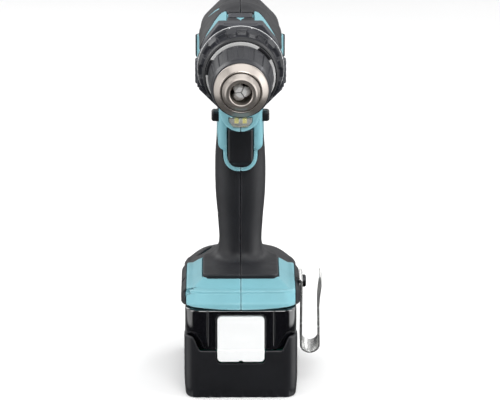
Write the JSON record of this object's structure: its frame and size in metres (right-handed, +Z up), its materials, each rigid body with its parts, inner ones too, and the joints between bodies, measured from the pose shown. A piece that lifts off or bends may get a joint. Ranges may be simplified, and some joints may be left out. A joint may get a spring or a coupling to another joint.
{
  "type": "cordless drill",
  "caption": "Cordless drill driver with keyless chuck, torque and mode rings, pistol grip, trigger, belt hook and a slide-on battery in the foot.",
  "frame": {"origin": "centre of the battery's underside, on the plane that the housing splits at", "axes": "+Z up, the chuck points along -Y, +X is the tool's left side with the belt hook"},
  "size_m": [0.0943, 0.198, 0.2522],
  "materials": {
    "teal_plastic": "satin, fine moulded texture",
    "black_rubber": "soft touch elastomer",
    "black_plastic": "fine moulded texture",
    "gloss_black": "polished",
    "grey_plastic": "fine moulded texture",
    "white_plastic": "satin",
    "nickel": "satin nickel plating",
    "steel": "machined",
    "hook_steel": "bright plating",
    "screw_steel": "black oxide",
    "aluminium": "die cast",
    "cell_can": "shrink wrapped",
    "copper": "enamelled wire",
    "clear_lens": "clear moulded",
    "board": "solder mask"
  },
  "bodies": {
    "body": {"housing_right": "teal_plastic", "housing_left": "teal_plastic", "grip_right": "black_rubber", "grip_left": "black_rubber", "rear_cover": "black_plastic", "housing_screws": "screw_steel", "gear_housing": "aluminium", "led_lens": "clear_lens", "led_board": "board", "switch_body": "black_plastic", "terminal_block": "black_plastic", "contact_blades": "copper", "belt_hook": "hook_steel", "hook_screw": "screw_steel", "motor_plate": "aluminium", "stator_core": "steel", "stator_coils": "copper", "motor_board": "board", "motor_bearings": "steel", "spindle_bearings": "steel", "ring_gear_1": "steel", "ring_gear_3": "steel", "clutch_spring": "steel"},
    "spindle": {"spindle": "steel", "chuck_body": "nickel", "chuck_screw": "screw_steel"},
    "chuck_sleeve": {"chuck_sleeve": "black_plastic", "nose_ring": "nickel", "jaw_nut": "steel"},
    "jaw_1": {"jaw_1": "steel"},
    "jaw_2": {"jaw_2": "steel"},
    "jaw_3": {"jaw_3": "steel"},
    "torque_ring": {"torque_ring": "black_plastic", "ring_retainer": "nickel"},
    "clutch_nut": {"clutch_nut": "steel"},
    "mode_ring": {"mode_ring": "grey_plastic"},
    "trigger": {"trigger": "black_plastic"},
    "reversing_lever": {"reversing_lever": "black_plastic"},
    "speed_selector": {"speed_selector": "grey_plastic"},
    "ring_gear_2": {"ring_gear_2": "steel"},
    "carrier_1": {"carrier_1": "steel"},
    "carrier_2": {"carrier_2": "steel"},
    "rotor": {"rotor_shaft": "steel", "rotor_core": "steel", "cooling_fan": "black_plastic"},
    "battery": {"battery_tray": "black_plastic", "battery_case": "gloss_black", "battery_cells": "cell_can", "battery_terminals": "copper", "latch_spring": "steel"},
    "release_button": {"release_button": "white_plastic"},
    "planet_last_1": {"planet_last_1": "steel"},
    "planet_last_2": {"planet_last_2": "steel"},
    "planet_last_3": {"planet_last_3": "steel"},
    "planet_middle_1": {"planet_middle_1": "steel"},
    "planet_middle_2": {"planet_middle_2": "steel"},
    "planet_middle_3": {"planet_middle_3": "steel"},
    "planet_first_1": {"planet_first_1": "steel"},
    "planet_first_2": {"planet_first_2": "steel"},
    "planet_first_3": {"planet_first_3": "steel"}
  },
  "joints": [
    {"name": "chuck_spin", "type": "hinge", "parent": "body", "child": "spindle", "pos_m": [0, 0, 0.223], "axis": [0, -1, 0], "continuous": true},
    {"name": "sleeve_turn", "type": "hinge", "parent": "spindle", "child": "chuck_sleeve", "pos_m": [0, 0, 0.223], "axis": [0, -1, 0], "range_deg": [0, 3038]},
    {"name": "jaw_slide_1", "type": "slide", "parent": "spindle", "child": "jaw_1", "axis": [-0.1581, 0.9613, 0.2258], "range_m": [0, 0.0212]},
    {"name": "jaw_slide_2", "type": "slide", "parent": "spindle", "child": "jaw_2", "axis": [-0.1165, 0.9613, -0.2498], "range_m": [0, 0.0212]},
    {"name": "jaw_slide_3", "type": "slide", "parent": "spindle", "child": "jaw_3", "axis": [0.2746, 0.9613, 0.024], "range_m": [0, 0.0212]},
    {"name": "torque_turn", "type": "hinge", "parent": "body", "child": "torque_ring", "pos_m": [0, 0, 0.223], "axis": [0, -1, 0], "range_deg": [0, 300]},
    {"name": "clutch_nut_slide", "type": "slide", "parent": "body", "child": "clutch_nut", "axis": [0, -1, 0], "range_m": [0, 0.008]},
    {"name": "mode_turn", "type": "hinge", "parent": "body", "child": "mode_ring", "pos_m": [0, 0, 0.223], "axis": [0, -1, 0], "range_deg": [-30, 30]},
    {"name": "trigger_pull", "type": "slide", "parent": "body", "child": "trigger", "axis": [0, 1, 0], "range_m": [0, 0.007], "stiffness_N_per_m": 350, "springref_m": -0.004},
    {"name": "reverse_push", "type": "slide", "parent": "body", "child": "reversing_lever", "axis": [1, 0, 0], "range_m": [-0.0035, 0.0035]},
    {"name": "speed_shift", "type": "slide", "parent": "body", "child": "speed_selector", "axis": [0, 1, 0], "range_m": [0, 0.0056]},
    {"name": "ring_gear_shift", "type": "slide", "parent": "body", "child": "ring_gear_2", "axis": [0, 1, 0], "range_m": [0, 0.0056]},
    {"name": "carrier_2_spin", "type": "hinge", "parent": "body", "child": "carrier_2", "pos_m": [0, 0, 0.223], "axis": [0, -1, 0], "continuous": true},
    {"name": "carrier_1_spin", "type": "hinge", "parent": "body", "child": "carrier_1", "pos_m": [0, 0, 0.223], "axis": [0, -1, 0], "continuous": true},
    {"name": "rotor_spin", "type": "hinge", "parent": "body", "child": "rotor", "pos_m": [0, 0, 0.223], "axis": [0, -1, 0], "continuous": true},
    {"name": "planet_last_1_spin", "type": "hinge", "parent": "spindle", "child": "planet_last_1", "pos_m": [0.0132, 0, 0.223], "axis": [0, -1, 0], "continuous": true},
    {"name": "planet_last_2_spin", "type": "hinge", "parent": "spindle", "child": "planet_last_2", "pos_m": [-0.0066, 0, 0.23443], "axis": [0, -1, 0], "continuous": true},
    {"name": "planet_last_3_spin", "type": "hinge", "parent": "spindle", "child": "planet_last_3", "pos_m": [-0.0066, 0, 0.21157], "axis": [0, -1, 0], "continuous": true},
    {"name": "planet_middle_1_spin", "type": "hinge", "parent": "carrier_2", "child": "planet_middle_1", "pos_m": [0.0132, 0, 0.223], "axis": [0, -1, 0], "continuous": true},
    {"name": "planet_middle_2_spin", "type": "hinge", "parent": "carrier_2", "child": "planet_middle_2", "pos_m": [-0.0066, 0, 0.23443], "axis": [0, -1, 0], "continuous": true},
    {"name": "planet_middle_3_spin", "type": "hinge", "parent": "carrier_2", "child": "planet_middle_3", "pos_m": [-0.0066, 0, 0.21157], "axis": [0, -1, 0], "continuous": true},
    {"name": "planet_first_1_spin", "type": "hinge", "parent": "carrier_1", "child": "planet_first_1", "pos_m": [0.0132, 0, 0.223], "axis": [0, -1, 0], "continuous": true},
    {"name": "planet_first_2_spin", "type": "hinge", "parent": "carrier_1", "child": "planet_first_2", "pos_m": [-0.0066, 0, 0.23443], "axis": [0, -1, 0], "continuous": true},
    {"name": "planet_first_3_spin", "type": "hinge", "parent": "carrier_1", "child": "planet_first_3", "pos_m": [-0.0066, 0, 0.21157], "axis": [0, -1, 0], "continuous": true},
    {"name": "battery_slide", "type": "slide", "parent": "body", "child": "battery", "axis": [0, -1, 0], "range_m": [0, 0.115]},
    {"name": "button_press", "type": "slide", "parent": "battery", "child": "release_button", "axis": [0, 0, -1], "range_m": [0, 0.004], "stiffness_N_per_m": 600, "springref_m": -0.003, "deforming": ["latch_spring"]}
  ],
  "couplings": [
    {"joint": "jaw_slide_1", "follows": "sleeve_turn", "m_per_rad": 0.00039789},
    {"joint": "jaw_slide_2", "follows": "sleeve_turn", "m_per_rad": 0.00039789},
    {"joint": "jaw_slide_3", "follows": "sleeve_turn", "m_per_rad": 0.00039789},
    {"joint": "clutch_nut_slide", "follows": "torque_turn", "m_per_rad": 0.0015},
    {"joint": "ring_gear_shift", "follows": "speed_shift", "ratio": 1},
    {"joint": "carrier_2_spin", "follows": "chuck_spin", "ratio": 3.6667},
    {"joint": "carrier_1_spin", "follows": "chuck_spin", "ratio": 11.524},
    {"joint": "rotor_spin", "follows": "chuck_spin", "ratio": 42.254},
    {"joint": "planet_last_1_spin", "follows": "chuck_spin", "ratio": -3.2},
    {"joint": "planet_last_2_spin", "follows": "chuck_spin", "ratio": -3.2},
    {"joint": "planet_last_3_spin", "follows": "chuck_spin", "ratio": -3.2},
    {"joint": "planet_middle_1_spin", "follows": "chuck_spin", "ratio": -13.75},
    {"joint": "planet_middle_2_spin", "follows": "chuck_spin", "ratio": -13.75},
    {"joint": "planet_middle_3_spin", "follows": "chuck_spin", "ratio": -13.75},
    {"joint": "planet_first_1_spin", "follows": "chuck_spin", "ratio": -36.876},
    {"joint": "planet_first_2_spin", "follows": "chuck_spin", "ratio": -36.876},
    {"joint": "planet_first_3_spin", "follows": "chuck_spin", "ratio": -36.876}
  ]
}
